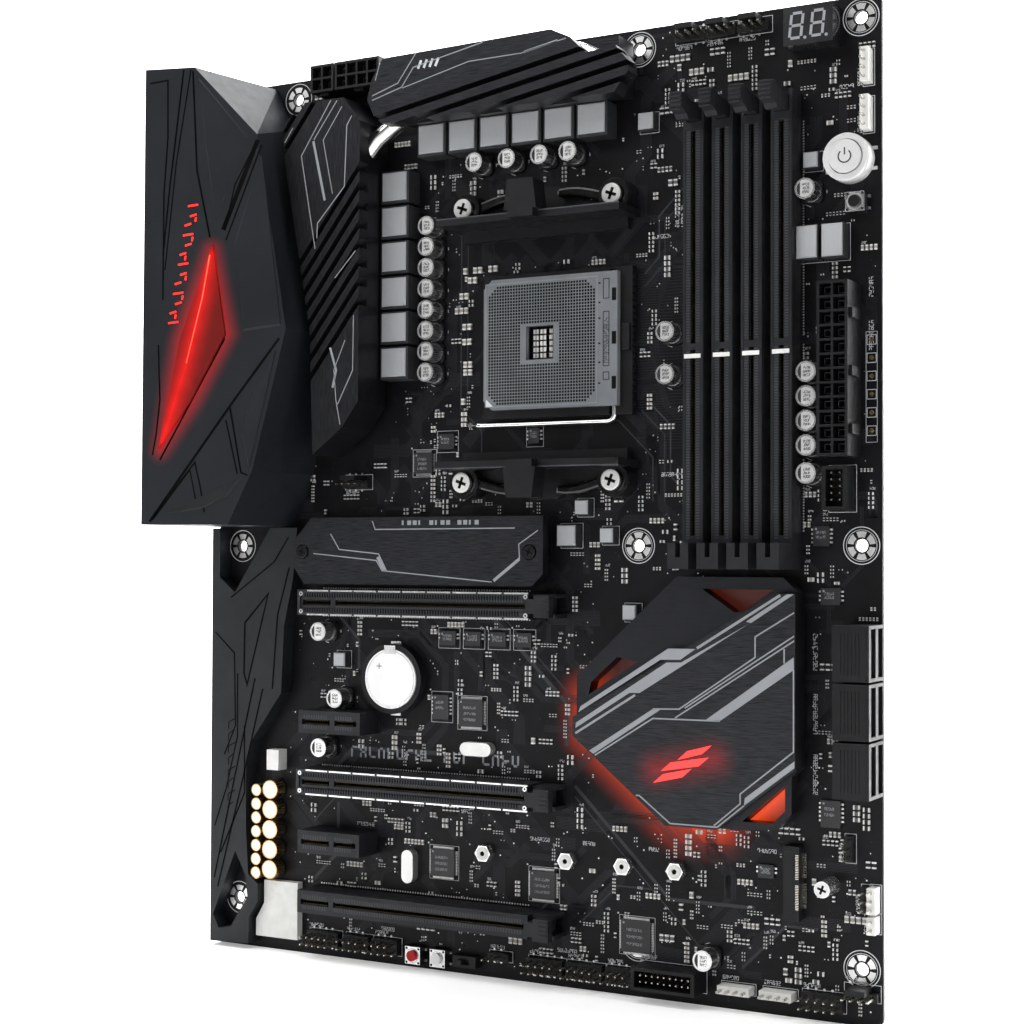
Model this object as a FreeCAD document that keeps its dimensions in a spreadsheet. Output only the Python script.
import FreeCAD, Part
import math
import os
from types import SimpleNamespace
import Sketcher

# Full-size desktop motherboard, standing upright with its component side facing -Y.
# Sub-parts are laid out flat in board coordinates: x from the rear (port) edge, "down" from the top
# edge, and height above the component face. The standing placement then turns the board upright.

doc = FreeCAD.newDocument("Motherboard")
sheet = doc.addObject("Spreadsheet::Sheet", "Sizes")

SIZES = {
    # bare board and its nine mounting holes
    "boardWidth": 243.84,
    "boardHeight": 304.8,
    "boardThick": 1.57,
    "boardCorner": 2.5,
    "mountHoleRadius": 1.98,
    "rearHoleX": 10.16,
    "topRearHoleX": 33.02,
    "middleHoleX": 165.10,
    "frontHoleInset": 6.35,
    "topHoleDown": 6.35,
    "middleHoleDown": 163.83,
    "bottomHoleInset": 16.51,
    # processor socket and cooler mounting
    "coolerX": 132.5,
    "coolerDown": 98.3,
    "coolerSpanX": 54.0,
    "coolerSpanY": 90.0,
    "coolerHoleRadius": 2.2,
    "socketLeft": 110.4,
    "socketRight": 164.2,
    "socketTop": 75.4,
    "socketBottom": 122.4,
    "socketHigh": 3.0,
    "sliderLeft": 111.6,
    "sliderRight": 160.0,
    "sliderTop": 77.0,
    "sliderBottom": 119.6,
    "sliderThick": 2.2,
    "slideGap": 0.1,
    "cavitySize": 11.0,
    "leverShaftX": 157.4,
    "leverShaftHigh": 1.6,
    "leverWire": 0.9,
    "leverReach": 51.0,
    "leverBeyond": 1.9,
    "leverClear": 0.35,
    "leverBend": 2.4,
    "leverHook": 3.2,
    "bracketHalf": 33.0,
    "bracketBarIn": 38.4,
    "bracketBarThick": 2.4,
    "bracketBarHigh": 16.0,
    "bracketFootIn": 34.8,
    "bracketFootHigh": 3.0,
    "bracketBossRadius": 5.4,
    "bracketBossHigh": 6.5,
    "bracketLugHalf": 4.6,
    "bracketLugOut": 50.5,
    "bracketLugLow": 12.0,
    "bracketLugHigh": 19.5,
    "bracketBore": 1.95,
    "coolerScrewRadius": 1.7,
    "coolerHeadRadius": 3.4,
    "coolerHeadHigh": 2.6,
    "coolerPostRadius": 2.05,
    "coolerPostBore": 1.8,
    "backplateThick": 2.0,
    "backplateMargin": 7.5,
    "backplateWindow": 26.0,
    "backplateStrap": 8.0,
    # memory slots and their latches
    "memoryFirstX": 186.9,
    "memoryPitch": 9.5,
    "memoryTop": 34.2,
    "memoryBottom": 163.2,
    "memoryWide": 6.8,
    "memoryHigh": 8.0,
    "memoryGroove": 1.6,
    "memoryGrooveDeep": 5.0,
    "memoryGrooveEnd": 2.3,
    "memoryKeyDown": 103.0,
    "memoryKeyThick": 2.0,
    "memoryCheekThick": 1.0,
    "memoryCheekLong": 7.2,
    "memoryPostLong": 7.8,
    "memoryPostHigh": 19.5,
    "latchWide": 4.0,
    "latchPivotIn": 3.1,
    "latchPivotHigh": 3.4,
    "latchFoot": 2.4,
    "latchHigh": 22.0,
    # expansion slots
    "slotLeft": 42.8,
    "longSlot": 89.0,
    "shortSlot": 25.0,
    "slotWide": 7.6,
    "slotHigh": 11.0,
    "slotGroove": 1.8,
    "slotGrooveDeep": 8.0,
    "slotEndWall": 1.4,
    "slotKeyX": 56.6,
    "slotKeyThick": 1.9,
    "longSlotFirst": 183.2,
    "longSlotSecond": 244.2,
    "longSlotThird": 284.8,
    "shortSlotFirst": 223.8,
    "shortSlotSecond": 264.5,
    "armorThick": 0.4,
    "armorGap": 0.1,
    "armorLow": 0.8,
    "armorCurb": 1.7,
    "clipCheek": 1.2,
    "clipLong": 8.0,
    "clipPivotIn": 3.4,
    "clipPivotHigh": 2.9,
    "clipFoot": 2.3,
    "clipHigh": 14.0,
    "clipTail": 5.4,
    "clipGap": 0.3,
    # power stage: chokes, transistors, can capacitors
    "chokeSide": 10.9,
    "chokeHigh": 7.0,
    "chokePitch": 11.9,
    "chokeColumnX": 77.95,
    "chokeColumnTop": 43.0,
    "chokeRowX": 92.2,
    "chokeRowDown": 28.45,
    "stageWide": 5.0,
    "stageLong": 6.0,
    "stageHigh": 1.0,
    "stageColumnX": 65.0,
    "stageRowDown": 16.5,
    "canRadius": 3.15,
    "canHigh": 7.7,
    "canColumnX": 90.6,
    "canColumnTop": 57.2,
    "canPitch": 7.0,
    # heatsinks over the power stage and the pipe that joins them
    "sinkLow": 2.4,
    "sinkHigh": 20.0,
    "sinkGrooveLow": 15.0,
    "sinkShelf": 8.4,
    "sideSinkRight": 72.2,
    "grooveWide": 1.8,
    "grooveSlope": 52.0,
    "groovePitch": 6.4,
    "rowGrooveSlope": 9.7,
    "rowGroovePitch": 4.5,
    "pipeRadius": 3.0,
    "pipeHigh": 11.6,
    "pipeClear": 0.1,
    "pipeBend": 9.0,
    # rear cover, its light bar and the ports below it
    "coverLeft": 1.0,
    "coverTop": 1.6,
    "coverBottom": 157.0,
    "coverHigh": 41.5,
    "coverFall": 0.296,
    "coverWall": 1.8,
    "coverCrestX": 48.0,
    "coverCrestDown": 91.4,
    "lightBarProud": 0.7,
    "lightBarDeep": 2.4,
    "lightBarGap": 0.1,
    "portProud": 1.5,
    "portDeep": 17.0,
    "portWide": 14.6,
    "portHigh": 29.5,
    "portCavityHigh": 5.4,
    "portCavityWide": 12.6,
    "portTongue": 1.9,
    "jackBlockTop": 118.0,
    "jackBlockWide": 26.4,
    "jackBlockHigh": 34.0,
    "jackRadius": 1.8,
    "jackBarrel": 3.6,
    "jackLength": 14.0,
    "buttonBlockTop": 4.6,
    "buttonBlockBottom": 18.4,
    "buttonBlockHigh": 9.0,
    "rearButtonRadius": 1.9,
    "rearButtonGap": 0.15,
    # covers and heatsinks on the lower half
    "audioCoverHigh": 6.0,
    "audioCoverSkin": 1.6,
    "driveSinkLow": 5.6,
    "driveSinkHigh": 9.5,
    "driveSinkTop": 154.3,
    "driveSinkBottom": 176.9,
    "driveScrewLeft": 42.8,
    "driveScrewRight": 131.1,
    "driveScrewDown": 165.9,
    "driveScrewRadius": 1.0,
    "driveHeadRadius": 2.3,
    "driveHeadThick": 0.8,
    "drivePostRadius": 2.6,
    "hubX": 184.2,
    "hubDown": 211.3,
    "hubSide": 21.0,
    "hubHigh": 1.6,
    "hubSinkLow": 2.6,
    "hubSinkHigh": 8.0,
    "hubPlateHigh": 11.0,
    # small parts
    "cellX": 75.5,
    "cellTuck": 0.4,
    "cellRadius": 10.0,
    "cellThick": 3.2,
    "cellSeat": 1.2,
    "holderWall": 1.6,
    "cellGap": 0.2,
    "powerPitch": 4.2,
    "powerHigh": 12.8,
    "powerCavity": 3.5,
    "powerFloor": 2.2,
    "mainPowerLeft": 228.0,
    "mainPowerTop": 86.4,
    "cpuPowerLeft": 47.0,
    "cpuPowerTop": -0.6,
    "sataInset": 10.3,
    "sataProud": 0.6,
    "sataTop": 187.0,
    "sataWide": 16.2,
    "sataPitch": 16.9,
    "sataHigh": 15.2,
    "pinSide": 0.64,
    "pinPitch": 2.54,
    "pinHigh": 8.5,
    "pinBase": 2.5,
    "startX": 234.6,
    "startDown": 49.0,
    "startRing": 6.75,
    "startHigh": 6.0,
    "startCap": 5.0,
    "startCapGap": 0.25,
    "startTravel": 0.5,
    "tactSide": 6.0,
    "tactHigh": 3.4,
    "tactPlunger": 1.75,
    "tactGap": 0.15,
    "tactTravel": 0.25,
    "tactProud": 1.1,
    "resetX": 236.6,
    "resetDown": 62.0,
    "safeX": 84.4,
    "retryX": 94.0,
    "tactUp": 4.6,
    "slideX": 104.2,
    "slideLong": 8.6,
    "slideWide": 3.8,
    "slideTravel": 2.0,
    "knobSide": 1.5,
}


class Size:
    """A number that remembers the sheet expression it came from."""

    def __init__(self, text, value):
        self.text = text
        self.value = value

    def __add__(self, other):
        return merged(self, "+", other)

    def __radd__(self, other):
        return merged(other, "+", self)

    def __sub__(self, other):
        return merged(self, "-", other)

    def __rsub__(self, other):
        return merged(other, "-", self)

    def __mul__(self, other):
        return merged(self, "*", other)

    def __rmul__(self, other):
        return merged(other, "*", self)

    def __truediv__(self, other):
        return merged(self, "/", other)

    def __neg__(self):
        return merged(0, "-", self)


def size(amount):
    if isinstance(amount, Size):
        return amount
    return Size("(%.6g)" % amount, float(amount))


def merged(first, sign, second):
    first = size(first)
    second = size(second)
    if sign == "+":
        value = first.value + second.value
    elif sign == "-":
        value = first.value - second.value
    elif sign == "*":
        value = first.value * second.value
    else:
        value = first.value / second.value
    return Size("(%s %s %s)" % (first.text, sign, second.text), value)


s = SimpleNamespace()
for row, (alias, amount) in enumerate(SIZES.items(), start=1):
    sheet.set("A%d" % row, alias)
    sheet.set("B%d" % row, "%g" % amount)
    sheet.setAlias("B%d" % row, alias)
    setattr(s, alias, Size("Sizes." + alias, amount))
doc.recompute()

NODES = []
frontHoleX = s.boardWidth - s.frontHoleInset
bottomHoleDown = s.boardHeight - s.bottomHoleInset
middleX = (s.rearHoleX + frontHoleX) / 2
middleDown = (s.middleHoleDown + bottomHoleDown) / 2


def bind(thing, name, amount):
    thing.setExpression(name, size(amount).text)


def up(down):
    """Height of a point above the board's bottom edge, from its distance below the top edge."""
    return s.boardHeight - down


def block(left, right, top, bottom, low, high):
    box = doc.addObject("Part::Box", "Block")
    bind(box, "Length", size(right) - left)
    bind(box, "Width", size(bottom) - top)
    bind(box, "Height", size(high) - low)
    bind(box, "Placement.Base.x", left)
    bind(box, "Placement.Base.y", up(bottom))
    bind(box, "Placement.Base.z", low)
    return box


def centred(x, down, wide, tall, low, high):
    return block(size(x) - size(wide) / 2, size(x) + size(wide) / 2,
                 size(down) - size(tall) / 2, size(down) + size(tall) / 2, low, high)


def post(x, down, low, high, radius):
    """Round post standing on the board."""
    cylinder = doc.addObject("Part::Cylinder", "Post")
    bind(cylinder, "Radius", radius)
    bind(cylinder, "Height", size(high) - low)
    bind(cylinder, "Placement.Base.x", x)
    bind(cylinder, "Placement.Base.y", up(down))
    bind(cylinder, "Placement.Base.z", low)
    return cylinder


def rod(left, right, down, high, radius):
    """Round bar lying along x."""
    cylinder = doc.addObject("Part::Cylinder", "Rod")
    turn = FreeCAD.Rotation(FreeCAD.Vector(0, 1, 0), 90)
    cylinder.Placement = FreeCAD.Placement(FreeCAD.Vector(), turn)
    bind(cylinder, "Radius", radius)
    bind(cylinder, "Height", size(right) - left)
    bind(cylinder, "Placement.Base.x", left)
    bind(cylinder, "Placement.Base.y", up(down))
    bind(cylinder, "Placement.Base.z", high)
    return cylinder


def shaft(x, top, bottom, high, radius):
    """Round bar lying along the board's height."""
    cylinder = doc.addObject("Part::Cylinder", "Shaft")
    turn = FreeCAD.Rotation(FreeCAD.Vector(1, 0, 0), -90)
    cylinder.Placement = FreeCAD.Placement(FreeCAD.Vector(), turn)
    bind(cylinder, "Radius", radius)
    bind(cylinder, "Height", size(bottom) - top)
    bind(cylinder, "Placement.Base.x", x)
    bind(cylinder, "Placement.Base.y", up(bottom))
    bind(cylinder, "Placement.Base.z", high)
    return cylinder


def bar(x, down, long, wide, slope, low, high):
    """Straight bar from a corner, climbing towards the top edge at the slope angle."""
    box = doc.addObject("Part::Box", "Bar")
    turn = FreeCAD.Rotation(FreeCAD.Vector(0, 0, 1), size(slope).value)
    box.Placement = FreeCAD.Placement(FreeCAD.Vector(), turn)
    bind(box, "Placement.Rotation.Angle", slope)
    bind(box, "Length", long)
    bind(box, "Width", wide)
    bind(box, "Height", size(high) - low)
    bind(box, "Placement.Base.x", x)
    bind(box, "Placement.Base.y", up(down))
    bind(box, "Placement.Base.z", low)
    return box


def joined(*things):
    if len(things) == 1:
        return things[0]
    fuse = doc.addObject("Part::MultiFuse", "Joined")
    fuse.Shapes = list(things)
    return fuse


def cut(base, *tools):
    result = doc.addObject("Part::Cut", "Cut")
    result.Base = base
    result.Tool = joined(*tools)
    return result


def grouped(*things):
    compound = doc.addObject("Part::Compound", "Group")
    compound.Links = list(things)
    return compound


def stand(thing):
    """Turns a flat-built sub-part upright, origin at the centre of the lower mounting rectangle."""
    turn = FreeCAD.Rotation(FreeCAD.Vector(1, 0, 0), 90)
    thing.Placement = FreeCAD.Placement(FreeCAD.Vector(), turn)
    bind(thing, "Placement.Base.x", 0 - middleX)
    bind(thing, "Placement.Base.y", 0 - s.boardThick)
    bind(thing, "Placement.Base.z", 0 - up(middleDown))


def node(name, thing):
    if thing.TypeId in ("Part::Box", "Part::Cylinder"):
        thing = grouped(thing)
    thing.Label = name
    stand(thing)
    NODES.append(thing)


def loop(sketch, points):
    """Closed outline of straight edges through (x, down) points, each held to the sheet."""
    start = sketch.GeometryCount
    places = [(size(x), size(up(down))) for x, down in points]
    corners = [FreeCAD.Vector(x.value, y.value, 0) for x, y in places]
    count = len(corners)
    for index in range(count):
        sketch.addGeometry(Part.LineSegment(corners[index], corners[(index + 1) % count]))
    for index in range(count):
        following = start + (index + 1) % count
        sketch.addConstraint(Sketcher.Constraint("Coincident", start + index, 2, following, 1))
    for index, place in enumerate(places):
        for kind, amount in zip(("DistanceX", "DistanceY"), place):
            held = Sketcher.Constraint(kind, -1, 1, start + index, 1, amount.value)
            number = sketch.addConstraint(held)
            bind(sketch, "Constraints[%d]" % number, amount)


def ring(sketch, x, down, radius):
    place = FreeCAD.Vector(size(x).value, size(up(down)).value, 0)
    circle = Part.Circle(place, FreeCAD.Vector(0, 0, 1), size(radius).value)
    number = sketch.addGeometry(circle)
    for kind, amount in (("DistanceX", size(x)), ("DistanceY", size(up(down)))):
        held = sketch.addConstraint(Sketcher.Constraint(kind, -1, 1, number, 3, amount.value))
        bind(sketch, "Constraints[%d]" % held, amount)
    held = sketch.addConstraint(Sketcher.Constraint("Radius", number, size(radius).value))
    bind(sketch, "Constraints[%d]" % held, radius)


def sketch_on(body, plane, level):
    sketch = body.newObject("Sketcher::SketchObject", "Outline")
    for feature in body.Origin.OriginFeatures:
        if feature.Role == plane:
            sketch.AttachmentSupport = (feature, [""])
    sketch.MapMode = "FlatFace"
    bind(sketch, "AttachmentOffset.Base.z", level)
    return sketch


def prism(outline, low, high, openings=(), holes=()):
    """Straight-sided plate from an outline, with inner outlines and round holes left open."""
    body = doc.addObject("PartDesign::Body", "Prism")
    sketch = sketch_on(body, "XY_Plane", low)
    loop(sketch, outline)
    for opening in openings:
        loop(sketch, opening)
    for x, down, radius in holes:
        ring(sketch, x, down, radius)
    pad = body.newObject("PartDesign::Pad", "Pad")
    pad.Profile = sketch
    bind(pad, "Length", size(high) - low)
    return body


def hollowed(body, outline, low, high):
    """Pocket cut up into a plate's underside."""
    sketch = sketch_on(body, "XY_Plane", low)
    loop(sketch, outline)
    pocket = body.newObject("PartDesign::Pocket", "Hollow")
    pocket.Profile = sketch
    pocket.Reversed = True
    bind(pocket, "Length", size(high) - low)
    return body


def side_profile(points, x, wide):
    """Plate standing across x, from a side outline of (down, height) points."""
    body = doc.addObject("PartDesign::Body", "Profile")
    sketch = sketch_on(body, "YZ_Plane", size(x) - size(wide) / 2)
    start = sketch.GeometryCount
    places = [(size(up(down)), size(high)) for down, high in points]
    count = len(places)
    corners = [FreeCAD.Vector(y.value, z.value, 0) for y, z in places]
    for index in range(count):
        sketch.addGeometry(Part.LineSegment(corners[index], corners[(index + 1) % count]))
    for index in range(count):
        following = start + (index + 1) % count
        sketch.addConstraint(Sketcher.Constraint("Coincident", start + index, 2, following, 1))
    for index, place in enumerate(places):
        for kind, amount in zip(("DistanceX", "DistanceY"), place):
            held = Sketcher.Constraint(kind, -1, 1, start + index, 1, amount.value)
            number = sketch.addConstraint(held)
            bind(sketch, "Constraints[%d]" % number, amount)
    pad = body.newObject("PartDesign::Pad", "Pad")
    pad.Profile = sketch
    bind(pad, "Length", wide)
    return body


def solid_node(name, shape):
    feature = doc.addObject("Part::Feature", "Solid")
    feature.Shape = shape
    node(name, feature)


# ---- bare board ----------------------------------------------------------------------------------
board = doc.addObject("PartDesign::Body", "Board")
outline = sketch_on(board, "XY_Plane", 0)
corners = [(0, 0), (s.boardWidth.value, 0), (s.boardWidth.value, s.boardHeight.value), (0, s.boardHeight.value)]
for index in range(4):
    first = FreeCAD.Vector(*corners[index], 0)
    outline.addGeometry(Part.LineSegment(first, FreeCAD.Vector(*corners[(index + 1) % 4], 0)))
for index in range(4):
    outline.addConstraint(Sketcher.Constraint("Coincident", index, 2, (index + 1) % 4, 1))
    outline.addConstraint(Sketcher.Constraint("Horizontal" if index % 2 == 0 else "Vertical", index))
outline.addConstraint(Sketcher.Constraint("Coincident", 0, 1, -1, 1))
held = outline.addConstraint(Sketcher.Constraint("DistanceX", 0, 1, 0, 2, s.boardWidth.value))
bind(outline, "Constraints[%d]" % held, s.boardWidth)
held = outline.addConstraint(Sketcher.Constraint("DistanceY", 1, 1, 1, 2, s.boardHeight.value))
bind(outline, "Constraints[%d]" % held, s.boardHeight)
laminate = board.newObject("PartDesign::Pad", "Laminate")
laminate.Profile = outline
laminate.Reversed = True
bind(laminate, "Length", s.boardThick)
doc.recompute()
upright = [
    "Edge%d" % (number + 1)
    for number, edge in enumerate(laminate.Shape.Edges)
    if abs(edge.tangentAt(edge.FirstParameter).z) > 0.9
]
rounded = board.newObject("PartDesign::Fillet", "RoundedCorners")
rounded.Base = (laminate, upright)
bind(rounded, "Radius", s.boardCorner)
drilling = sketch_on(board, "XY_Plane", 0)
mount_holes = [(s.topRearHoleX, s.topHoleDown), (s.middleHoleX, s.topHoleDown), (frontHoleX, s.topHoleDown)]
for hole_x in (s.rearHoleX, s.middleHoleX, frontHoleX):
    mount_holes.append((hole_x, s.middleHoleDown))
    mount_holes.append((hole_x, bottomHoleDown))
for hole_x, hole_down in mount_holes:
    ring(drilling, hole_x, hole_down, s.mountHoleRadius)
cooler_holes = []
for side in (-1, 1):
    for level in (-1, 1):
        cooler_holes.append((s.coolerX + side * s.coolerSpanX / 2, s.coolerDown + level * s.coolerSpanY / 2))
for hole_x, hole_down in cooler_holes:
    ring(drilling, hole_x, hole_down, s.coolerHoleRadius)
holes = board.newObject("PartDesign::Pocket", "DrilledHoles")
holes.Profile = drilling
bind(holes, "Length", s.boardThick * 2)
node("pcb", board)

# ---- processor socket ----------------------------------------------------------------------------
channel_low = s.leverShaftHigh - s.leverWire - s.leverClear
cavity_left = (s.sliderLeft + s.sliderRight - 8) / 2 - s.cavitySize / 2
cavity_top = (s.sliderTop + s.sliderBottom) / 2 - s.cavitySize / 2
socket_body = block(s.socketLeft, s.socketRight, s.socketTop, s.socketBottom, 0, s.socketHigh)
channel = block(s.leverShaftX - s.leverWire - s.leverClear, s.leverShaftX + s.leverWire + s.leverClear,
                s.sliderTop - 1, s.socketBottom + 1, channel_low, s.socketHigh + 1)
well = block(cavity_left, cavity_left + s.cavitySize, cavity_top, cavity_top + s.cavitySize,
             -1, s.socketHigh + 1)
node("socket_base", cut(socket_body, channel, well))

slider_low = s.socketHigh + s.slideGap
slider_high = slider_low + s.sliderThick
slider_plate = prism(
    [(s.sliderLeft, s.sliderTop + 3), (s.sliderLeft + 3, s.sliderTop), (s.sliderRight, s.sliderTop),
     (s.sliderRight, s.sliderBottom), (s.sliderLeft + 3, s.sliderBottom),
     (s.sliderLeft, s.sliderBottom - 3)],
    slider_low, slider_high)
slider_well = block(cavity_left + 1, cavity_left + s.cavitySize, cavity_top, cavity_top + s.cavitySize,
                    slider_low - 1, slider_high + 1)
node("socket_slider", cut(slider_plate, slider_well))



def bent_rod(places, bend, radius):
    """Round rod along straight runs with tangent bends."""
    edges = []
    last = places[0]
    for before, corner, after in zip(places, places[1:], places[2:]):
        back = (before - corner).normalize()
        ahead = (after - corner).normalize()
        half_turn = (math.pi - back.getAngle(ahead)) / 2
        reach = bend * math.tan(half_turn)
        start = corner + back * reach
        end = corner + ahead * reach
        inward = (back + ahead).normalize()
        middle = corner + inward * (bend / math.cos(half_turn) - bend)
        edges.append(Part.makeLine(last, start))
        edges.append(Part.Arc(start, middle, end).toShape())
        last = end
    edges.append(Part.makeLine(last, places[-1]))
    circle = Part.Wire([Part.makeCircle(radius, places[0], places[1] - places[0])])
    return Part.Wire(edges).makePipeShell([circle], True, True)


def place(x, down, high):
    return FreeCAD.Vector(size(x).value, size(up(down)).value, size(high).value)


elbow_down = s.socketBottom + s.leverBeyond
lever_end = s.leverShaftX - s.leverReach
lever_route = [
    place(s.leverShaftX, s.sliderTop + 1, s.leverShaftHigh),
    place(s.leverShaftX, elbow_down, s.leverShaftHigh),
    place(lever_end, elbow_down, s.leverShaftHigh),
    place(lever_end, elbow_down, s.leverShaftHigh + s.leverHook)]
solid_node("socket_lever", bent_rod(lever_route, s.leverBend.value, s.leverWire.value))

# ---- cooler brackets, screws and backplate -------------------------------------------------------
for name, away in (("cooler_bracket_upper", -1), ("cooler_bracket_lower", 1)):
    screw_down = s.coolerDown + away * s.coolerSpanY / 2
    near = s.coolerDown + away * s.bracketFootIn
    beam = s.coolerDown + away * s.bracketBarIn
    beam_out = beam + away * s.bracketBarThick
    lug_out = s.coolerDown + away * s.bracketLugOut
    foot_top, foot_bottom = (beam, near) if away < 0 else (near, beam)
    beam_top, beam_bottom = (beam_out, beam) if away < 0 else (beam, beam_out)
    foot = block(s.coolerX - s.bracketHalf + 3, s.coolerX + s.bracketHalf - 3, foot_top, foot_bottom,
                 0, s.bracketFootHigh)
    wall = block(s.coolerX - s.bracketHalf, s.coolerX + s.bracketHalf, beam_top, beam_bottom,
                 0, s.bracketBarHigh)
    web = prism(
        [(s.coolerX - s.coolerSpanX / 2 - 4, beam_out), (s.coolerX - s.coolerSpanX / 2 - 4, screw_down),
         (s.coolerX - 14, screw_down), (s.coolerX - 5, lug_out), (s.coolerX + 5, lug_out),
         (s.coolerX + 14, screw_down), (s.coolerX + s.coolerSpanX / 2 + 4, screw_down),
         (s.coolerX + s.coolerSpanX / 2 + 4, beam_out)],
        0, s.bracketFootHigh)
    lug = prism(
        [(s.coolerX - s.bracketLugHalf - 1.2, beam_out), (s.coolerX - s.bracketLugHalf, lug_out),
         (s.coolerX + s.bracketLugHalf, lug_out), (s.coolerX + s.bracketLugHalf + 1.2, beam_out)],
        s.bracketLugLow, s.bracketLugHigh)
    rib = block(s.coolerX - s.bracketLugHalf, s.coolerX + s.bracketLugHalf, beam_top, beam_bottom,
                s.bracketBarHigh, s.bracketLugHigh)
    bosses = []
    bores = []
    for side in (-1, 1):
        boss_x = s.coolerX + side * s.coolerSpanX / 2
        bosses.append(post(boss_x, screw_down, 0, s.bracketBossHigh, s.bracketBossRadius))
        bores.append(post(boss_x, screw_down, -1, s.bracketBossHigh + 1, s.bracketBore))
    node(name, cut(joined(foot, wall, web, lug, rib, *bosses), *bores))

screws = []
for hole_x, hole_down in cooler_holes:
    shank = post(hole_x, hole_down, -s.boardThick, s.bracketBossHigh + 0.5, s.coolerScrewRadius)
    head = post(hole_x, hole_down, s.bracketBossHigh, s.bracketBossHigh + s.coolerHeadHigh, s.coolerHeadRadius)
    screws.append(joined(shank, head))
node("cooler_screws", grouped(*screws))

plate_back = -s.boardThick - s.backplateThick
plate_left = s.coolerX - s.coolerSpanX / 2 - s.backplateMargin
plate_right = s.coolerX + s.coolerSpanX / 2 + s.backplateMargin
plate_top = s.coolerDown - s.coolerSpanY / 2 - s.backplateMargin
plate_bottom = s.coolerDown + s.coolerSpanY / 2 + s.backplateMargin
windows = []
for level in (-1, 1):
    near = s.coolerDown + level * s.backplateStrap / 2
    far = near + level * s.backplateWindow
    window_top, window_bottom = (far, near) if level < 0 else (near, far)
    windows.append([(s.coolerX - s.backplateWindow / 2, window_top),
                    (s.coolerX + s.backplateWindow / 2, window_top),
                    (s.coolerX + s.backplateWindow / 2, window_bottom),
                    (s.coolerX - s.backplateWindow / 2, window_bottom)])
stamped = prism(
    [(plate_left + 5, plate_top), (plate_right - 5, plate_top), (plate_right, plate_top + 5),
     (plate_right, plate_top + 18), (plate_right - 6, plate_top + 24), (plate_right - 6, plate_bottom - 24),
     (plate_right, plate_bottom - 18), (plate_right, plate_bottom - 5), (plate_right - 5, plate_bottom),
     (plate_left + 5, plate_bottom), (plate_left, plate_bottom - 5), (plate_left, plate_bottom - 18),
     (plate_left + 6, plate_bottom - 24), (plate_left + 6, plate_top + 24), (plate_left, plate_top + 18),
     (plate_left, plate_top + 5)],
    plate_back, -s.boardThick, openings=windows)
posts = []
post_bores = []
for hole_x, hole_down in cooler_holes:
    posts.append(post(hole_x, hole_down, plate_back, -0.05, s.coolerPostRadius))
    post_bores.append(post(hole_x, hole_down, plate_back - 1, 1, s.coolerPostBore))
node("cooler_backplate", cut(joined(stamped, *posts), *post_bores))

# ---- memory slots --------------------------------------------------------------------------------
for index in range(4):
    x = s.memoryFirstX + index * s.memoryPitch
    half = s.memoryWide / 2
    strip = block(x - half, x + half, s.memoryTop, s.memoryBottom, 0, s.memoryHigh)
    cheeks = []
    for side in (-1, 1):
        outer = x + side * half
        inner = outer - side * s.memoryCheekThick
        left, right = (outer, inner) if side < 0 else (inner, outer)
        cheeks.append(block(left, right, s.memoryTop - s.memoryCheekLong, s.memoryTop, 0, s.memoryHigh))
    tower = block(x - half, x + half, s.memoryBottom, s.memoryBottom + s.memoryPostLong, 0, s.memoryPostHigh)
    groove_low = s.memoryHigh - s.memoryGrooveDeep
    upper_groove = block(x - s.memoryGroove / 2, x + s.memoryGroove / 2, s.memoryTop + s.memoryGrooveEnd,
                         s.memoryKeyDown - s.memoryKeyThick / 2, groove_low, s.memoryHigh + 1)
    lower_groove = block(x - s.memoryGroove / 2, x + s.memoryGroove / 2,
                         s.memoryKeyDown + s.memoryKeyThick / 2, s.memoryBottom - s.memoryGrooveEnd,
                         groove_low, s.memoryHigh + 1)
    edge_guide = block(x - s.memoryGroove / 2, x + s.memoryGroove / 2, s.memoryBottom - 1,
                       s.memoryBottom + 4.2, s.memoryHigh, s.memoryPostHigh + 1)
    slot_body = joined(strip, tower, *cheeks)
    node("memory_slot_%d" % (index + 1), cut(slot_body, upper_groove, lower_groove, edge_guide))

    pivot = s.memoryTop - s.latchPivotIn
    foot = rod(x - s.latchWide / 2, x + s.latchWide / 2, pivot, s.latchPivotHigh, s.latchFoot)
    finger = side_profile(
        [(pivot + s.latchFoot, s.latchPivotHigh), (pivot + s.latchFoot, 12), (pivot + s.latchFoot + 1.2, 14.5),
         (pivot + s.latchFoot + 1.2, 16.5), (pivot + s.latchFoot, 18), (pivot + 1.2, s.latchHigh),
         (pivot - 3.2, s.latchHigh), (pivot - 4.2, 19), (pivot - s.latchFoot, 15),
         (pivot - s.latchFoot, s.latchPivotHigh)],
        x, s.latchWide)
    node("memory_latch_%d" % (index + 1), joined(foot, finger))

# ---- expansion slots -----------------------------------------------------------------------------
long_rows = (s.longSlotFirst, s.longSlotSecond, s.longSlotThird)
slot_right = s.slotLeft + s.longSlot


def slot_body(down, long):
    """Slot strip with its card groove in two runs either side of the key."""
    right = s.slotLeft + long
    half = s.slotWide / 2
    strip = block(s.slotLeft, right, down - half, down + half, 0, s.slotHigh)
    grooves = []
    for left, end in ((s.slotLeft + s.slotEndWall, s.slotKeyX - s.slotKeyThick / 2),
                      (s.slotKeyX + s.slotKeyThick / 2, right - s.slotEndWall)):
        grooves.append(block(left, end, down - s.slotGroove / 2, down + s.slotGroove / 2,
                             s.slotHigh - s.slotGrooveDeep, s.slotHigh + 1))
    return strip, grooves


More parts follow.
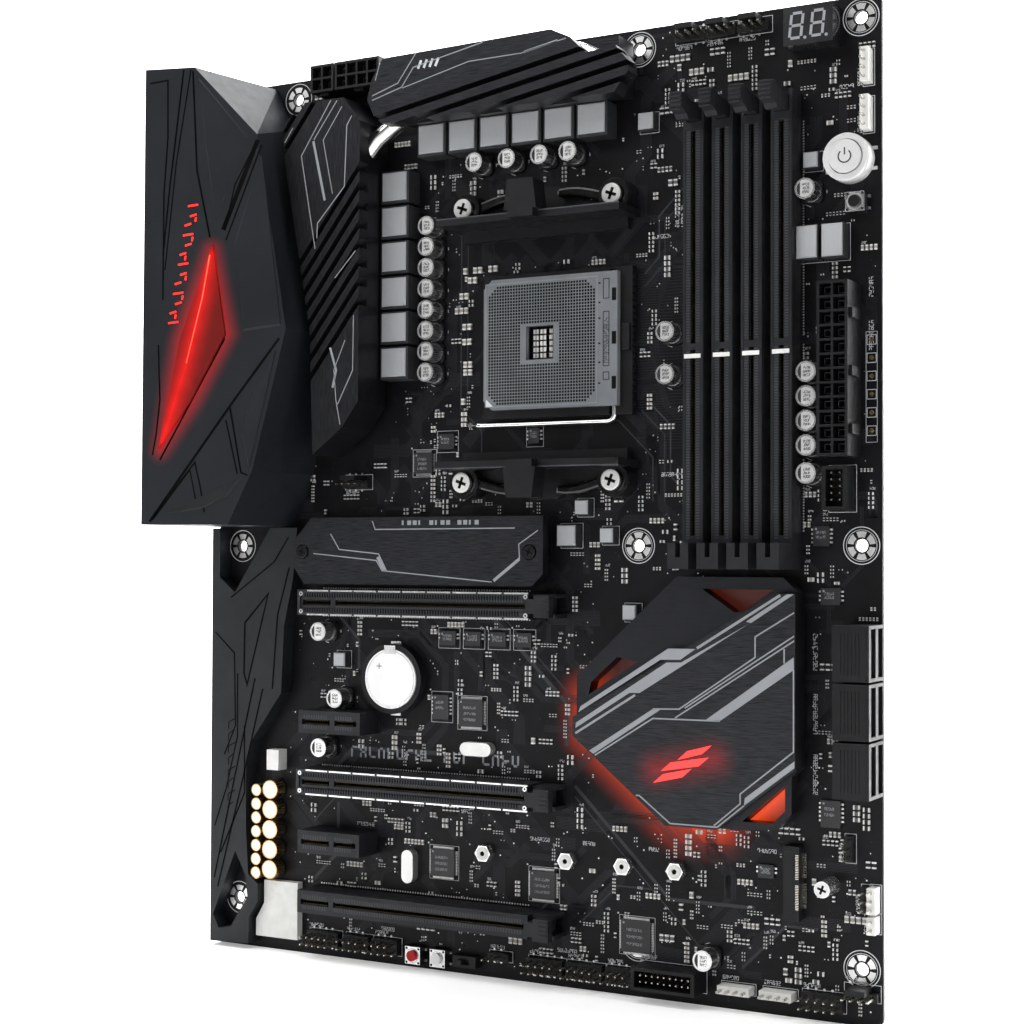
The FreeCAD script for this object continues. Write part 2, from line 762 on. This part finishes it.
for index, down in enumerate(long_rows):
    strip, grooves = slot_body(down, s.longSlot)
    half = s.slotWide / 2
    ears = []
    for side in (-1, 1):
        outer = down + side * half
        inner = outer - side * s.clipCheek
        top, bottom = (outer, inner) if side < 0 else (inner, outer)
        ears.append(block(slot_right, slot_right + s.clipLong, top, bottom, 0, s.slotHigh - 3))
    node("expansion_slot_%d" % (index + 1), cut(joined(strip, *ears), *grooves))

    pivot_x = slot_right + s.clipPivotIn
    inside = s.slotWide / 2 - s.clipCheek - s.clipGap
    barrel = shaft(pivot_x, down - inside, down + inside, s.clipPivotHigh, s.clipFoot)
    stem = block(pivot_x - s.clipFoot, pivot_x + s.clipFoot, down - inside, down + inside,
                 s.clipPivotHigh, s.clipHigh)
    thumb = block(pivot_x, pivot_x + s.clipTail, down - half + 0.3, down + half - 0.3,
                  s.clipHigh - 3, s.clipHigh)
    node("expansion_latch_%d" % (index + 1), joined(barrel, stem, thumb))

armor = []
for down in long_rows[:2]:
    inner = s.slotWide / 2 + s.armorGap
    outer = inner + s.armorThick
    sheet_top = s.slotHigh + s.armorGap + s.armorThick
    skin = block(s.slotLeft - s.armorGap - s.armorThick, slot_right, down - outer, down + outer,
                 s.armorLow, sheet_top)
    inside = block(s.slotLeft - s.armorGap, slot_right + 1, down - inner, down + inner,
                   s.armorLow - 1, s.slotHigh + s.armorGap)
    mouth = block(s.slotLeft + 0.6, slot_right + 1, down - inner + s.armorCurb, down + inner - s.armorCurb,
                  s.slotHigh - 1, sheet_top + 1)
    armor.append(cut(skin, inside, mouth))
node("expansion_slot_armor", grouped(*armor))

short_slots = []
for down in (s.shortSlotFirst, s.shortSlotSecond):
    strip, grooves = slot_body(down, s.shortSlot)
    short_slots.append(cut(strip, *grooves))
node("short_expansion_slots", grouped(*short_slots))

# ---- power stage ---------------------------------------------------------------------------------
chokes = []
stages = []
for index in range(6):
    down = s.chokeColumnTop + index * s.chokePitch
    chokes.append(centred(s.chokeColumnX, down, s.chokeSide, s.chokeSide, 0, s.chokeHigh))
    stages.append(centred(s.stageColumnX, down, s.stageLong, s.stageWide, 0, s.stageHigh))
    x = s.chokeRowX + index * s.chokePitch
    chokes.append(centred(x, s.chokeRowDown, s.chokeSide, s.chokeSide, 0, s.chokeHigh))
    stages.append(centred(x, s.stageRowDown, s.stageWide, s.stageLong, 0, s.stageHigh))
beside_memory = s.memoryFirstX + 3 * s.memoryPitch + s.memoryWide / 2
for x, down in ((beside_memory + 3.5, 73.2), (beside_memory + 11.4, 73.2)):
    chokes.append(centred(x, down, 6.9, 10.2, 0, 5))
for x, down in ((beside_memory + 4, 48.2), (146.5, 151.6), (155.4, 160.6), (163.4, 184.9), (54, 202.8)):
    chokes.append(centred(x, down, 5, 5, 0, 3))
chokes.append(centred(141.6, 160.6, 7, 7, 0, 4))
chokes.append(centred(168.6, 30.2, 5.6, 5.6, 0, 3))
node("power_chokes", grouped(*chokes))

can_places = []
for index in range(8):
    can_places.append((s.canColumnX, s.canColumnTop + index * s.canPitch))
for x, down in ((108.8, 37.9), (121.1, 37.9), (133, 37.9), (143.3, 37.9), (177.3, 97.6), (177.3, 110.9),
                (beside_memory + 3.8, 57.6), (48.2, 193.2), (55.1, 215.8), (48.7, 232.8), (190.1, 289.6)):
    can_places.append((x, down))
for down in (112.2, 119.5, 126.8, 134.1, 142.4):
    can_places.append((beside_memory + 4.1, down))
cans = [post(x, down, 0, s.canHigh, s.canRadius) for x, down in can_places]
node("can_capacitors", grouped(*cans))

audio_cans = []
for index in range(5):
    audio_cans.append(post(26.8, 248.7 + index * 6.93, 0, 5.2, 3.2))
for index in range(7):
    audio_cans.append(post(20.9, 249.2 + index * 4.8, 0, 5.2, 2.1))
node("audio_capacitors", grouped(*audio_cans))

# ---- heat pipe and the two finned heatsinks ------------------------------------------------------
pipe_points = [(64, 84), (64, 37.5), (74, 27.5), (87, 19.5), (103, 12.5), (150, 7.4), (161, 13.2)]
pipe_route = [place(x, down, s.pipeHigh) for x, down in pipe_points]
pipe_channel = doc.addObject("Part::Feature", "PipeChannel")
pipe_channel.Shape = bent_rod(pipe_route, s.pipeBend.value, s.pipeRadius.value + s.pipeClear.value)
solid_node("heat_pipe", bent_rod(pipe_route, s.pipeBend.value, s.pipeRadius.value))

side_outline = [
    (40.5, 21), (49, 14), (65.5, 14), (s.sideSinkRight, 22.5), (s.sideSinkRight, 116),
    (66, 124.5), (54, 133.5), (52.6, 92), (48.6, 70), (42.4, 37)]
side_block = prism(side_outline, s.sinkLow, s.sinkHigh)
choke_relief = block(s.sideSinkRight - 0.6, s.sideSinkRight + 5, s.chokeColumnTop - s.chokeSide,
                     s.boardHeight / 2, s.sinkLow - 1, s.chokeHigh + 1)
side_grooves = []
for down in (33, 39.5):
    side_grooves.append(bar(35, down, 60, s.grooveWide, s.grooveSlope, s.sinkGrooveLow, s.sinkHigh + 1))
for index in range(8):
    side_grooves.append(bar(44, 75.4 + index * s.groovePitch, 60, s.grooveWide, s.grooveSlope,
                            s.sinkGrooveLow, s.sinkHigh + 1))
channel_for_side = doc.addObject("Part::Feature", "SideChannel")
channel_for_side.Shape = pipe_channel.Shape
node("side_heatsink", cut(side_block, choke_relief, channel_for_side, *side_grooves))

row_outline = [
    (76.8, 9.5), (81, 3), (143.5, 2), (150, 5.2), (156, 11), (166, 10), (170, 15), (170.4, 18.5),
    (165.6, 24.6), (81, 24.6), (77.8, 22), (75, 16)]
row_top = prism(row_outline, s.powerHigh + 0.3, s.sinkHigh)
row_base = block(82, 164, 5, s.chokeRowDown - s.chokeSide / 2 - 0.6, s.sinkLow, s.powerHigh + 0.3)
row_grooves = []
for index in range(5):
    row_grooves.append(bar(70, 24.9 + index * s.rowGroovePitch, 120, s.grooveWide, s.rowGrooveSlope,
                           s.sinkGrooveLow, s.sinkHigh + 1))
node("top_heatsink", cut(joined(row_top, row_base), pipe_channel, *row_grooves))

pads = []
stage_top = s.chokeColumnTop - s.stageWide
pads.append(block(s.stageColumnX - s.stageLong / 2, s.stageColumnX + s.stageLong / 2, stage_top,
                  s.chokeColumnTop + 5 * s.chokePitch + s.stageWide, s.stageHigh, s.sinkLow))
pads.append(block(s.chokeRowX - s.stageWide, s.chokeRowX + 5 * s.chokePitch + s.stageWide,
                  s.stageRowDown - s.stageLong / 2, s.stageRowDown + s.stageLong / 2,
                  s.stageHigh, s.sinkLow))
pads.append(centred(s.hubX, s.hubDown, s.hubSide - 4, s.hubSide - 4, s.hubHigh, s.hubSinkLow))
node("thermal_pads", grouped(*pads))

# ---- rear cover with its light bar ---------------------------------------------------------------
def cover_solid(inset, base):
    """Faceted cover body: sloping front, bevelled top corner and steep side walls."""
    def front(x, down):
        return FreeCAD.Vector(x, s.boardHeight.value - down, s.coverHigh.value - s.coverFall.value * x - inset)

    def foot(x, down):
        return FreeCAD.Vector(x, s.boardHeight.value - down, base)

    left = -s.coverLeft.value - (0 if inset <= 0 else 3)
    top = s.coverTop.value + inset
    bottom = s.coverBottom.value - inset
    crest_x = s.coverCrestX.value - inset
    crest = s.coverCrestDown.value
    upper = [front(left, top), front(16 - inset / 2, top), front(37.7 - inset, 25.5 + inset),
             front(crest_x, crest), front(36.9 - inset, 139), front(28.8 - inset, bottom),
             front(left, bottom)]
    lower = [foot(left, top), foot(23.5 - inset, top), foot(31 - inset, 17 + inset),
             foot(crest_x + 1.6, crest), foot(40.4 - inset, 139), foot(33.5 - inset, bottom),
             foot(left, bottom)]
    faces = [Part.Face(Part.makePolygon(upper + upper[:1])), Part.Face(Part.makePolygon(lower + lower[:1]))]
    count = len(upper)
    for index in range(count):
        following = (index + 1) % count
        corner, beside = upper[index], upper[following]
        below, across = lower[index], lower[following]
        faces.append(Part.Face(Part.makePolygon([corner, beside, below, corner])))
        faces.append(Part.Face(Part.makePolygon([beside, across, below, beside])))
    solid = Part.Solid(Part.Shell(faces))
    solid.fix(0.001, 0.001, 0.001)
    if solid.Volume < 0:
        solid.reverse()
    return solid


def bar_prism(grow):
    corners = [(23.1, 62.5), (27.6, 93), (15.9, 115.5), (5.2, 131), (12.2, 94.4)]
    places = [FreeCAD.Vector(x, s.boardHeight.value - down, 20) for x, down in corners]
    edge = Part.makePolygon(places + places[:1])
    if grow > 0:
        edge = edge.makeOffset2D(grow, 2)
    return Part.Face(edge).extrude(FreeCAD.Vector(0, 0, 40))


cover_shell = cover_solid(0, 0.0).cut(cover_solid(s.coverWall.value, -1.0))
solid_node("rear_cover", cover_shell.cut(bar_prism(s.lightBarGap.value)))
bar_skin = cover_solid(-s.lightBarProud.value, 0.0).cut(cover_solid(s.lightBarDeep.value, -1.0))
solid_node("cover_light_bar", bar_prism(0).common(bar_skin))

# ---- rear ports ----------------------------------------------------------------------------------
def port_stack(top, rows, high):
    """Metal shell with one tongued cavity for each row."""
    shell = block(-s.portProud, s.portDeep, top, top + s.portWide, 0, high)
    cavities = []
    tongues = []
    middle = top + s.portWide / 2
    for row in range(rows):
        level = (row + 0.5) * size(high) / rows
        cavities.append(centred(5.5 - s.portProud, middle, 14, s.portCavityWide,
                                level - s.portCavityHigh / 2, level + s.portCavityHigh / 2))
        tongues.append(block(0, 11, middle - s.portCavityWide / 2 + 0.8, middle + s.portCavityWide / 2 - 0.8,
                             level - s.portTongue / 2, level + s.portTongue / 2))
    return joined(cut(shell, *cavities), *tongues)


stacks = [port_stack(top, 4, s.portHigh) for top in (21.5, 38.6, 55.7)]
stacks.append(port_stack(93.4, 2, s.portHigh / 2))
node("usb_ports", grouped(*stacks))

network_low = s.portHigh / 2
network_box = block(-s.portProud, s.portDeep + 4, 73.6, 90.0, 0, s.portHigh)
network_cavity = block(-s.portProud - 1, 11.5, 75.8, 87.8, network_low + 2.4, network_low + 10.6)
network_usb = block(-s.portProud - 1, 11.5, 75.5, 88.1, 4.6, 10.0)
network_tongue = block(0, 12, 76.3, 87.3, 6.3, 8.2)
node("network_port", joined(cut(network_box, network_cavity, network_usb), network_tongue))

jack_block = block(0, s.jackLength, s.jackBlockTop, s.jackBlockTop + s.jackBlockWide, 0, s.jackBlockHigh)
barrels = []
jack_bores = []
for column in range(2):
    for row in range(3):
        down = s.jackBlockTop + s.jackBlockWide * (0.25 + 0.5 * column)
        level = 6 + 11 * row
        if (column, row) == (1, 0):
            jack_bores.append(block(-3, 8, down - 3.2, down + 3.2, level - 3.2, level + 3.2))
            continue
        barrels.append(rod(-s.portProud, 1, down, level, s.jackBarrel))
        jack_bores.append(rod(-s.portProud - 1, s.jackLength + 1, down, level, s.jackRadius))
node("audio_jacks", cut(joined(jack_block, *barrels), *jack_bores))

button_middle = (s.buttonBlockTop + s.buttonBlockBottom) / 2
button_places = (("flash_button", button_middle - 3.2), ("clear_button", button_middle + 3.2))
button_block = block(0, 9, s.buttonBlockTop, s.buttonBlockBottom, 0, s.buttonBlockHigh)
button_bores = []
for name, down in button_places:
    button_bores.append(rod(-1, 6, down, s.buttonBlockHigh / 2, s.rearButtonRadius + s.rearButtonGap))
    node(name, rod(-1.4, 4.6, down, s.buttonBlockHigh / 2, s.rearButtonRadius))
rear_button_block = cut(button_block, *button_bores)

# ---- audio cover ---------------------------------------------------------------------------------
audio_top = s.coverBottom + 0.6
audio_outline = [
    (1.4, audio_top), (4.6, audio_top), (4.7, 175), (11.4, 180.2), (26.6, audio_top), (38, audio_top),
    (36.4, 175.3), (32.8, 191.3), (31.7, 215), (19.4, 231.8), (16.9, 241), (17.1, 263), (18.2, 278.6),
    (22.3, 281.7), (22.4, 287.6), (18.8, 293.2), (18.4, 302.6), (1.8, 303.3)]
audio_window = [(12.5, 271), (17, 279), (18, 286.5), (10.8, 297.5), (5.5, 298.5), (2.9, 294)]
audio_shell = prism(audio_outline, 0, s.audioCoverHigh, openings=[audio_window])
audio_inside = [(3.2, 184), (12, 184), (30, 164), (33.5, 176), (30.5, 212), (17.4, 230), (15, 240),
                (15.2, 262), (11, 266), (3.2, 283)]
node("audio_cover", hollowed(audio_shell, audio_inside, 0, s.audioCoverHigh - s.audioCoverSkin))

# ---- drive heatsink, drive sockets and their fasteners -------------------------------------------
drive_outline = [
    (41.8, s.driveSinkTop + 5), (46.5, s.driveSinkTop), (136, s.driveSinkTop), (136, s.driveSinkBottom - 4),
    (132, s.driveSinkBottom), (43.5, s.driveSinkBottom), (39, s.driveSinkBottom - 6),
    (39, s.driveSinkTop + 8)]
drive_screws = ((s.driveScrewLeft, s.driveScrewDown), (s.driveScrewRight, s.driveScrewDown))
drive_holes = [(x, down, s.driveScrewRadius + 0.3) for x, down in drive_screws]
drive_plate = prism(drive_outline, s.driveSinkLow, s.driveSinkHigh, holes=drive_holes)
head_seats = [post(x, down, s.driveSinkHigh - s.driveHeadThick, s.driveSinkHigh + 1, s.driveHeadRadius + 0.3)
              for x, down in drive_screws]
node("drive_heatsink", cut(drive_plate, *head_seats))

fasteners = []
for x, down in drive_screws:
    pillar = post(x, down, 0, s.driveSinkLow, s.drivePostRadius)
    fasteners.append(cut(pillar, post(x, down, 1.5, s.driveSinkLow + 1, s.driveScrewRadius + 0.1)))
    shank = post(x, down, 2, s.driveSinkHigh - s.driveHeadThick / 2, s.driveScrewRadius)
    head = post(x, down, s.driveSinkHigh - s.driveHeadThick, s.driveSinkHigh + 0.3, s.driveHeadRadius)
    fasteners.append(joined(shank, head))
standoff_x = (110.7, 141.0, 160.9, 178.8)
for x in standoff_x:
    hexagon = doc.addObject("Part::Prism", "Hexagon")
    hexagon.Polygon = 6
    hexagon.Circumradius = 2.9
    hexagon.Height = 3
    bind(hexagon, "Placement.Base.x", x)
    bind(hexagon, "Placement.Base.y", up(264.4))
    fasteners.append(cut(hexagon, post(x, 264.4, 0.6, 4, 0.8)))
fasteners.append(post(228.6, 264.3, 0, 10, 2.4))
node("drive_fasteners", grouped(*fasteners))

drive_sockets = []
for left, top, opens in ((122.6, 155.2, -1), (214.6, 253.4, -1)):
    shell = block(left, left + 5, top, top + 22, 0, 4.2)
    mouth = block(left + opens, left + 3.4, top + 1.2, top + 20.8, 1.7, 2.8)
    drive_sockets.append(cut(shell, mouth))
node("drive_sockets", grouped(*drive_sockets))

# ---- hub heatsink and face plate -----------------------------------------------------------------
hub_outline = [
    (147.5, 204.8), (181.5, 173.4), (216, 173.4), (220.8, 178), (220.8, 230), (218.6, 232.4),
    (218.6, 243.4), (213.4, 248.4), (200, 249.2), (179.2, 249.2), (147.5, 223.4)]
upper_cut = [(190, 177), (213, 177), (203.5, 183.6), (200.5, 184)]
rear_cut = [(151.6, 210.6), (152.6, 206.6), (161.5, 198.6), (168.6, 199.8)]
front_cut = [(203, 246.6), (216.6, 235), (216.6, 242.6), (212.6, 246.6)]
node("hub_heatsink", prism(hub_outline, s.hubSinkLow, s.hubSinkHigh,
                           openings=[upper_cut, rear_cut, front_cut]))
plate_outline = [(147.5, 217.6), (214.5, 178.2), (220.8, 178.2), (220.8, 230), (196, 249.2), (179.2, 249.2),
                 (147.5, 223.4)]
node("hub_face_plate", prism(plate_outline, s.hubSinkHigh, s.hubPlateHigh))

# ---- coin cell and holder ------------------------------------------------------------------------
cell_down = (s.shortSlotFirst - s.slotWide / 2 + s.cellTuck
             - (s.cellRadius + s.cellGap + s.holderWall))
cup = post(s.cellX, cell_down, 0, s.cellSeat + s.cellThick - 0.4, s.cellRadius + s.cellGap + s.holderWall)
cup_bore = post(s.cellX, cell_down, s.cellSeat, s.cellSeat + s.cellThick + 1, s.cellRadius + s.cellGap)
node("cell_holder", cut(cup, cup_bore))
node("coin_cell", post(s.cellX, cell_down, s.cellSeat, s.cellSeat + s.cellThick, s.cellRadius))

# ---- connectors ----------------------------------------------------------------------------------
def power_socket(left, top, columns, rows):
    """Keyed power connector: a housing with one square cavity for each contact."""
    margin = 0.5
    housing = block(left, left + columns * s.powerPitch + margin * 2, top,
                    top + rows * s.powerPitch + margin * 2, 0, s.powerHigh)
    cavities = []
    for column in range(columns):
        for row in range(rows):
            cavities.append(centred(left + margin + (column + 0.5) * s.powerPitch,
                                    top + margin + (row + 0.5) * s.powerPitch,
                                    s.powerCavity, s.powerCavity, s.powerFloor, s.powerHigh + 1))
    return cut(housing, *cavities)


node("power_sockets", grouped(
    power_socket(s.mainPowerLeft, s.mainPowerTop, 2, 12),
    power_socket(s.cpuPowerLeft, s.cpuPowerTop, 2, 2),
    power_socket(s.cpuPowerLeft + 2 * s.powerPitch + 1.6, s.cpuPowerTop, 4, 2)))

sata = []
for index in range(3):
    top = s.sataTop + index * s.sataPitch
    left = s.boardWidth - s.sataInset
    right = s.boardWidth + s.sataProud
    housing = block(left, right, top, top + s.sataWide, 0, s.sataHigh)
    cavities = []
    tongues = []
    for level in (4.2, 11.0):
        cavities.append(block(right - 7, right + 1, top + 1, top + s.sataWide - 1, level - 2.2, level + 2.2))
        tongues.append(block(right - 8, right - 1.4, top + 2.6, top + s.sataWide - 3, level - 0.6, level + 0.6))
    sata.append(joined(cut(housing, *cavities), *tongues))
node("sata_ports", grouped(*sata))


def pin_header(left, top, columns, rows, base=None):
    """Moulded strip with square pins."""
    base_high = s.pinBase if base is None else base
    strip = block(left, left + columns * s.pinPitch, top, top + rows * s.pinPitch, 0, base_high)
    pins = []
    for column in range(columns):
        for row in range(rows):
            pins.append(centred(left + (column + 0.5) * s.pinPitch, top + (row + 0.5) * s.pinPitch,
                                s.pinSide, s.pinSide, 0, s.pinHigh))
    return joined(strip, *pins)


header_down = s.boardHeight - 2 * s.pinPitch - 3.4
pin_rows = []
for left, columns, rows in ((41, 5, 2), (56, 4, 2), (67.5, 4, 2), (112.5, 3, 1), (127, 5, 2), (141, 5, 2),
                            (155, 4, 2), (219.6, 5, 2)):
    pin_rows.append(pin_header(left, header_down, columns, rows))
node("pin_headers", grouped(*pin_rows))

fan_headers = []
for left, top in ((178, 3.8), (188.3, 3.8), (199, 3.8), (232.6, 294.6), (54.5, 141.5)):
    fan_strip = pin_header(left, top, 4, 1)
    fan_headers.append(joined(fan_strip, block(left + 2.2, left + 8, top - 1.6, top, 0, 7.6)))
for left, top in ((232.8, 249.4), (237.8, 263.8)):
    fan_headers.append(pin_header(left, top, 1, 3))
node("fan_headers", grouped(*fan_headers))

light_headers = []
for left, top, columns, rows in ((238.6, 16.6, 1, 4), (238.6, 30.8, 1, 4), (193.8, 297, 4, 1), (207.2, 297, 4, 1),
                                 (240.4, 263.6, 1, 3), (240.4, 272, 1, 2)):
    light_headers.append(pin_header(left, top, columns, rows, base=5))
node("light_headers", grouped(*light_headers))


def shroud(left, right, top, bottom, high, pins):
    """Open box round a field of pins."""
    box = block(left, right, top, bottom, 0, high)
    inside = block(left + 1.2, right - 1.2, top + 1.0, bottom - 1.0, 1.6, high + 1)
    middles = [(x, down) for x, down in pins]
    return joined(cut(box, inside), *[centred(x, down, 0.6, 0.6, 0, high - 1.5) for x, down in middles])


usb_pins = [(169.4 + 2 * index, down) for index in range(9) for down in (296.2, 298.2)]
front_pins = [(x, 142.4 + 2 * index) for index in range(5) for x in (230.4, 233)]
node("usb_headers", grouped(shroud(166.8, 188.0, 293.7, 300.7, 9, usb_pins),
                            shroud(227.9, 235.5, 140.4, 153.4, 8, front_pins)))

# ---- buttons, switch and display -----------------------------------------------------------------
start_low = 1.4
start_body = post(s.startX, s.startDown, 0, s.startHigh, s.startRing)
start_bore = post(s.startX, s.startDown, start_low, s.startHigh + 1, s.startCap + s.startCapGap)
cap_low = start_low + s.startTravel + 0.1
node("start_button", post(s.startX, s.startDown, cap_low, s.startHigh + 0.9, s.startCap))

switch_bodies = [cut(start_body, start_bore), rear_button_block]
tact_down = s.boardHeight - s.tactUp
for name, x, down in (("reset_button", s.resetX, s.resetDown), ("safe_button", s.safeX, tact_down),
                      ("retry_button", s.retryX, tact_down)):
    case = centred(x, down, s.tactSide, s.tactSide, 0, s.tactHigh)
    bore_low = s.tactHigh - 1.6
    bore = post(x, down, bore_low, s.tactHigh + 1, s.tactPlunger + s.tactGap)
    switch_bodies.append(cut(case, bore))
    node(name, post(x, down, bore_low + s.tactTravel + 0.1, s.tactHigh + s.tactProud, s.tactPlunger))

knob_left = s.slideX - s.slideTravel / 2 - s.knobSide / 2
slide_case = centred(s.slideX, tact_down, s.slideLong, s.slideWide, 0, s.tactHigh)
slide_slot = block(knob_left - 0.2, knob_left + s.knobSide + s.slideTravel + 0.2,
                   tact_down - s.knobSide / 2 - 0.15, tact_down + s.knobSide / 2 + 0.15,
                   s.tactHigh - 1.4, s.tactHigh + 1)
switch_bodies.append(cut(slide_case, slide_slot))
node("slow_switch_knob", block(knob_left, knob_left + s.knobSide, tact_down - s.knobSide / 2,
                               tact_down + s.knobSide / 2, s.tactHigh - 1.2, s.tactHigh + 1.8))
node("switch_bodies", grouped(*switch_bodies))
node("debug_display", block(216, 231.4, 2.8, 14.4, 0, 8))

# ---- packaged chips, crystals, relay and shield --------------------------------------------------
chips = [*stages, centred(s.hubX, s.hubDown, s.hubSide, s.hubSide, 0, s.hubHigh)]
for x, down, wide, tall, high in (
        (105, 219, 9, 9, 1.4), (94.5, 269, 9, 9, 1.4), (132, 273, 9, 9, 1.4), (93.4, 217.5, 6, 8, 1.2),
        (165, 286, 10, 10, 1.4), (86, 136, 7, 7, 1.2), (95, 129, 6, 5, 1.2), (128, 128, 4, 5, 1),
        (96, 194.5, 6, 4.6, 1.2), (105.5, 194.5, 6, 4.6, 1.2), (115, 194.5, 6, 4.6, 1.2),
        (124.5, 194.5, 6, 4.6, 1.2), (27.6, 238.4, 5, 7, 5), (208, 262, 5, 4, 1.2), (225.4, 161, 5, 6, 1.2),
        (228.3, 179, 6, 5, 1.2), (228.3, 243.4, 6, 8, 1.3)):
    chips.append(centred(x, down, wide, tall, 0, high))
for x, down, wide, tall in ((108, 230.6, 7.2, 4.4), (82, 271, 4.4, 6.6)):
    can = centred(x, down, wide, tall, 0, 3.4)
    if wide > tall:
        ends = [post(x - wide / 2, down, 0, 3.4, tall / 2), post(x + wide / 2, down, 0, 3.4, tall / 2)]
    else:
        ends = [post(x, down - tall / 2, 0, 3.4, wide / 2), post(x, down + tall / 2, 0, 3.4, wide / 2)]
    chips.append(joined(can, *ends))
chips.append(prism([(23, 280.6), (37.2, 280.6), (37.2, 300.2), (19.6, 300.2), (19.6, 294.4), (23, 288.6)],
                   0, 3))
node("chips_and_crystals", grouped(*chips))

# ---- check and write -----------------------------------------------------------------------------
doc.recompute()
for thing in doc.Objects:
    if "Invalid" in thing.State or "Error" in thing.State:
        raise RuntimeError("%s (%s) did not build" % (thing.Name, thing.Label))
for thing in NODES:
    if thing.Shape.isNull() or not thing.Shape.isValid() or not thing.Shape.Solids:
        raise RuntimeError("%s has no valid shape" % thing.Label)
os.makedirs("parts", exist_ok=True)
for thing in NODES:
    thing.Shape.exportStep("parts/%s.step" % thing.Label)
print("wrote %d parts" % len(NODES))
